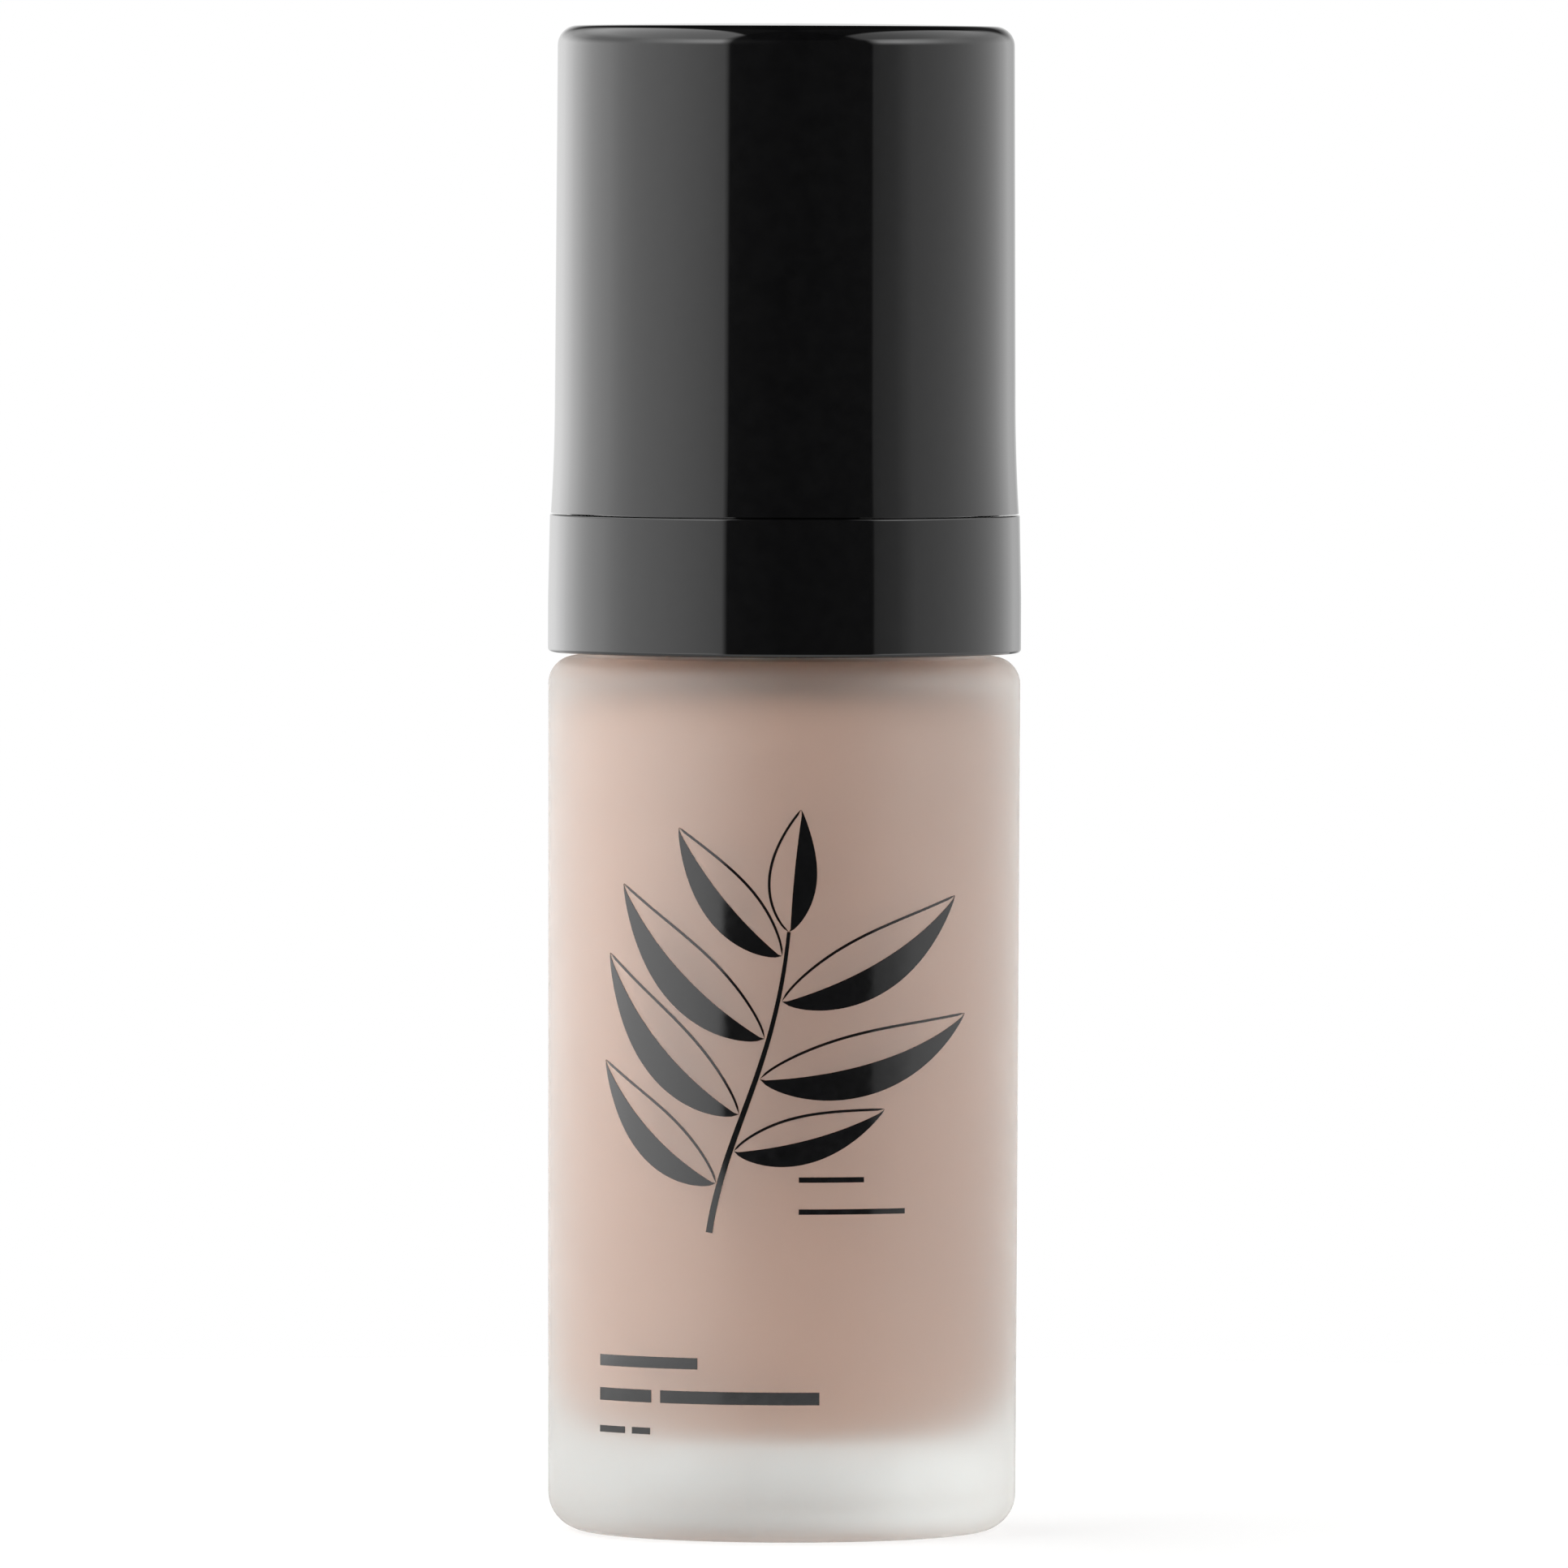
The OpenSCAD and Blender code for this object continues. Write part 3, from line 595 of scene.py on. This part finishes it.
# Its leaves: place along the stem, side, lean from the stem, length, width, curl in degrees
LEAVES = (
    (0.17, -1, 64, 13.5, 4.0, 26), (0.30, 1, 56, 12.0, 3.6, 20), (0.43, -1, 64, 16.5, 4.6, 28),
    (0.57, 1, 56, 18.0, 4.7, 26), (0.70, -1, 62, 16.5, 4.7, 26), (0.82, 1, 50, 16.5, 4.6, 24),
    (0.94, -1, 48, 12.5, 4.0, 20), (1.0, 1, 0, 9.2, 3.6, -6),
)
# Plain bars in place of small print: left end, foot, length, height
BARS = (
    (1.2, 27.2, 5.0, 0.4), (1.2, 24.8, 8.4, 0.4),
    (-15.6, 13.1, 9.1, 0.85), (-15.6, 10.5, 5.2, 0.95), (-9.6, 10.5, 12.4, 0.95),
    (-15.6, 8.1, 2.7, 0.5), (-12.2, 8.1, 1.7, 0.5),
)


def on_stem(t):
    """Point of the stem at t from 0 to 1, and its heading: 0 is up, positive turns right."""
    m = 1 - t
    weights = (m ** 3, 3 * m * m * t, 3 * m * t * t, t ** 3)
    slopes = (-3 * m * m, 3 * m * m - 6 * m * t, 6 * m * t - 3 * t * t, 3 * t * t)
    s, z = (sum(w * p[i] for w, p in zip(weights, STEM)) for i in (0, 1))
    ds, dz = (sum(w * p[i] for w, p in zip(slopes, STEM)) for i in (0, 1))
    return s, z, math.atan2(ds, dz)


def across(s, z, heading, offsets):
    """A row of points to the right of a heading, from offsets in rising order."""
    return [(s + w * math.cos(heading), z - w * math.sin(heading)) for w in offsets]


def make_leaf(place, side, lean, length, width, curl):
    """A pointed leaf: one half solid, the other drawn as a fine outline."""
    steps, solid_cells, outline_cells = 44, 6, 2  # cells along the leaf and across its halves
    stalk = 0.3  # how far a side leaf starts from the stem
    vein, line, tip = 0.11, 0.2, 0.03  # from midline to solid half, outline's width, half the tip
    vein_share, line_share = 0.4, 0.6  # most that these take of half the width, near the leaf's ends
    belly, fullness = 0.82, 0.85  # powers that shift the widest place and round the leaf
    s, z, heading = on_stem(place)
    s, z = across(s, z, heading, [side * stalk if lean else 0.0])[0]
    solid, outline = [], []
    for i in range(steps + 1):
        u = i / steps
        now = heading + side * math.radians(lean - curl * (u - 0.5))
        if i:
            s += length / steps * math.sin(now)
            z += length / steps * math.cos(now)
        half = width / 2 * math.sin(math.pi * u ** belly) ** fullness + tip
        inner = min(vein, half * vein_share)
        drawn_w = min(line, half * line_share)
        filled = [side * (inner + (half - inner) * k / solid_cells) for k in range(solid_cells + 1)]
        drawn = [-side * (half - drawn_w * k / outline_cells) for k in range(outline_cells + 1)]
        solid.append(across(s, z, now, sorted(filled)))
        outline.append(across(s, z, now, sorted(drawn)))
    return [solid, outline]


def bar(left, foot, length, height):
    """A plain printed bar, in cells short enough to follow the wall."""
    cell = 0.6
    cols = max(2, int(length / cell) + 1)
    return [[(left + length * j / cols, z) for j in range(cols + 1)] for z in (foot, foot + height)]


def make_print():
    """A generic leafy branch, and plain bars where small print would be."""
    steps, half_w, thinning = 40, 0.26, 0.12  # half the stem's width at its foot, and what it loses
    stem = []
    for i in range(steps + 1):
        t = i / steps
        s, z, heading = on_stem(t)
        half = half_w - thinning * t
        stem.append(across(s, z, heading, [-half, 0, half]))
    patches = [stem]
    for values in LEAVES:
        patches += make_leaf(*values)
    patches += [bar(*values) for values in BARS]
    piece = wrapped_patches("front_print", patches, body_radius, PRINT_FRONT, PRINT_BACK)
    dress(piece, printed_ink("black ink"))
    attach(piece, "bottle")


# ---------------------------------------------------------------- CAD nodes that keep their shape

def dress_cad():
    """Materials of the pieces that keep their CAD shape: pump, button, closure and liner."""
    gloss, matt = gloss_black("actuator black"), matt_black("matt black")
    natural = natural_plastic("natural plastic")
    looks = {
        "actuator_shell": gloss, "nozzle_spout": gloss,
        "actuator_core": matt, "screw_closure": matt, "overcap_liner": matt,
        "pump_housing": natural, "stem_guide": natural, "piston": natural,
        "stem_valve": natural, "stem": natural,
        "dip_tube": tube_plastic("dip tube plastic"),
        "neck_gasket": foam("gasket foam"),
        "inlet_ball": steel("ball steel", (0.60, 0.60, 0.61), (0.68, 0.68, 0.69), 0.12, 3000),
    }
    for node, material in looks.items():
        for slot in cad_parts[node].material_slots:
            slot.material = material


# ---------------------------------------------------------------- studio

def make_floor():
    """A round sheet of pale paper under the bottle, small enough for the wall not to mirror it."""
    radii = (20, 40, 70, 110, 160, 220)
    under, count = -0.02, 96  # height, just below the foot, and corners of a ring
    verts = [(0, 0, under)]
    for r in radii:
        for k in range(count):
            a = 2 * math.pi * k / count
            verts.append((r * math.cos(a), r * math.sin(a), under))
    faces = []
    for k in range(count):
        m = (k + 1) % count
        faces.append([0, 1 + k, 1 + m])
        for i in range(len(radii) - 1):
            a, b = 1 + i * count, 1 + (i + 1) * count
            faces.append([a + k, b + k, b + m, a + m])
    piece = new_object("floor", verts, faces)
    dress(piece, floor_paper("floor paper"))


# Brightness of the studio round the bottle: angle from the camera's side, positive to the right,
# in degrees. At the bottle's own height a dark gap lies in front, a strong soft box to the left and
# a weaker one to the right. Higher up the boxes' front edges are the brightest, and overhead they
# are even.
STUDIO_LIGHT = (
    (-180, 0.85), (-168, 1.2), (-160, 1.7), (-150, 2.45), (-139, 3.0), (-127, 3.15), (-115, 2.95),
    (-100, 2.85), (-92, 2.5), (-81, 2.2), (-61, 1.92), (-43, 1.55), (-29.9, 1.22), (-29.1, 0.05),
    (0, 0.02), (44.0, 0.05), (44.8, 0.38), (57, 0.52), (67, 0.9), (88, 1.1), (113, 1.36), (137, 1.58),
    (149, 1.5), (156, 1.15), (163, 0.82), (180, 0.8),
)
HIGH_LIGHT = (
    (-180, 0.03), (-168, 0.05), (-160, 0.9), (-150, 1.4), (-135, 1.6), (-120, 1.4), (-90, 1.9),
    (-60, 3.6), (-45, 4.7), (-34, 4.9), (-28, 0.15), (0, 0.03), (43, 0.05), (50, 3.8), (60, 4.6),
    (75, 3.7), (90, 2.3), (115, 1.3), (140, 1.0), (152, 0.8), (160, 0.05), (180, 0.03),
)
OVERHEAD_LIGHT = (
    (-180, 0.05), (-168, 0.05), (-158, 1.9), (-140, 2.5), (-110, 2.6), (-60, 2.4), (-35, 2.3),
    (-28, 0.05), (0, 0.03), (38, 0.03), (44, 1.0), (60, 1.2), (110, 1.7), (140, 1.6), (152, 1.3),
    (160, 0.05), (180, 0.05),
)
STUDIO_PEAK = 5.0
# Share of HIGH_LIGHT, by how far a direction points up or down: 0 is level and 1 upright
LIFT = ((0.0, 0.0), (0.1, 0.0), (0.3, 1.0), (1.0, 1.0))
# Share of OVERHEAD_LIGHT, by how far a direction points up
ROOF = ((0.0, 0.0), (0.42, 0.0), (0.58, 1.0), (1.0, 1.0))
# The dark strip that the boxes leave open overhead, from front to back: 0 is left and 1 right
STRIP = ((0.0, 1.0), (0.355, 1.0), (0.372, 0.02), (0.69, 0.02), (0.715, 1.0), (1.0, 1.0))


def make_studio():
    """A world of soft boxes round and over the bottle, and plain white to the camera."""
    world = bpy.data.worlds.new("studio")
    bpy.context.scene.world = world
    world.use_nodes = True
    tree = world.node_tree
    tree.nodes.clear()
    add, link = tree.nodes.new, tree.links.new

    def maths(operation, *values):
        made = add("ShaderNodeMath")
        made.operation = operation
        for socket, value in zip(made.inputs, values):
            if isinstance(value, bpy.types.NodeSocket):
                link(value, socket)
            else:
                socket.default_value = value
        return made.outputs[0]

    def ramp(value, stops, peak=1.0):
        made = add("ShaderNodeValToRGB")
        link(value, made.inputs[0])
        elements = made.color_ramp.elements
        elements[0].position, elements[1].position = stops[0][0], stops[-1][0]
        for place, _ in stops[1:-1]:
            elements.new(place)
        for element, (_, level) in zip(elements, stops):
            element.color = (level / peak, level / peak, level / peak, 1)
        return made.outputs[0]

    def blend(low, high, share):
        return maths("ADD", maths("MULTIPLY", low, maths("SUBTRACT", 1.0, share)),
                     maths("MULTIPLY", high, share))

    def background():
        made = add("ShaderNodeBackground")
        made.inputs["Color"].default_value = (1, 1, 1, 1)
        return made

    direction = add("ShaderNodeSeparateXYZ")
    link(add("ShaderNodeTexCoord").outputs["Generated"], direction.inputs[0])
    x, y, z = direction.outputs
    angle = maths("ARCTAN2", x, maths("MULTIPLY", y, -1.0))
    turn = maths("ADD", maths("DIVIDE", angle, 2 * math.pi), 0.5)
    level, high, overhead = (
        ramp(turn, [(0.5 + a / 360, light) for a, light in lights], STUDIO_PEAK)
        for lights in (STUDIO_LIGHT, HIGH_LIGHT, OVERHEAD_LIGHT)
    )
    sideways = maths("ADD", maths("MULTIPLY", x, 0.5), 0.5)
    overhead = maths("MULTIPLY", overhead, ramp(sideways, STRIP))
    walls = blend(level, high, ramp(maths("ABSOLUTE", z), LIFT))
    boxes = blend(walls, overhead, ramp(z, ROOF))

    studio, backdrop = background(), background()
    link(maths("MULTIPLY", boxes, STUDIO_PEAK), studio.inputs["Strength"])
    mix = add("ShaderNodeMixShader")
    link(add("ShaderNodeLightPath").outputs["Is Camera Ray"], mix.inputs[0])
    link(studio.outputs[0], mix.inputs[1])
    link(backdrop.outputs[0], mix.inputs[2])
    link(mix.outputs[0], add("ShaderNodeOutputWorld").inputs[0])
    bpy.context.scene.view_settings.view_transform = "Standard"


def make_camera():
    """A long lens at the height of the overcap, tilted down a little, with a trace of roll."""
    distance, eye_z, aim_z = 1630, 110, 56.5
    roll = 0.18  # degrees
    frame_w = 118.66  # width that the picture takes in at the bottle
    place, aim = Vector((0, -distance, eye_z)), Vector((0, 0, aim_z))
    data = bpy.data.cameras.new("camera")
    data.sensor_width = 36
    data.lens = data.sensor_width * math.hypot(distance, eye_z - aim_z) / frame_w
    data.clip_start, data.clip_end = 0.1, 20  # metres
    camera = bpy.data.objects.new("camera", data)
    bpy.context.scene.collection.objects.link(camera)
    camera.location = place * MM
    camera.rotation_mode = "QUATERNION"
    facing = (aim - place).to_track_quat("-Z", "Y")
    camera.rotation_quaternion = facing @ Quaternion((0, 0, 1), math.radians(roll))
    bpy.context.scene.camera = camera


make_camera()
make_studio()
make_floor()
make_bottle()
make_liquid()
make_collar()
make_overcap()
make_spring()
make_print()
dress_cad()
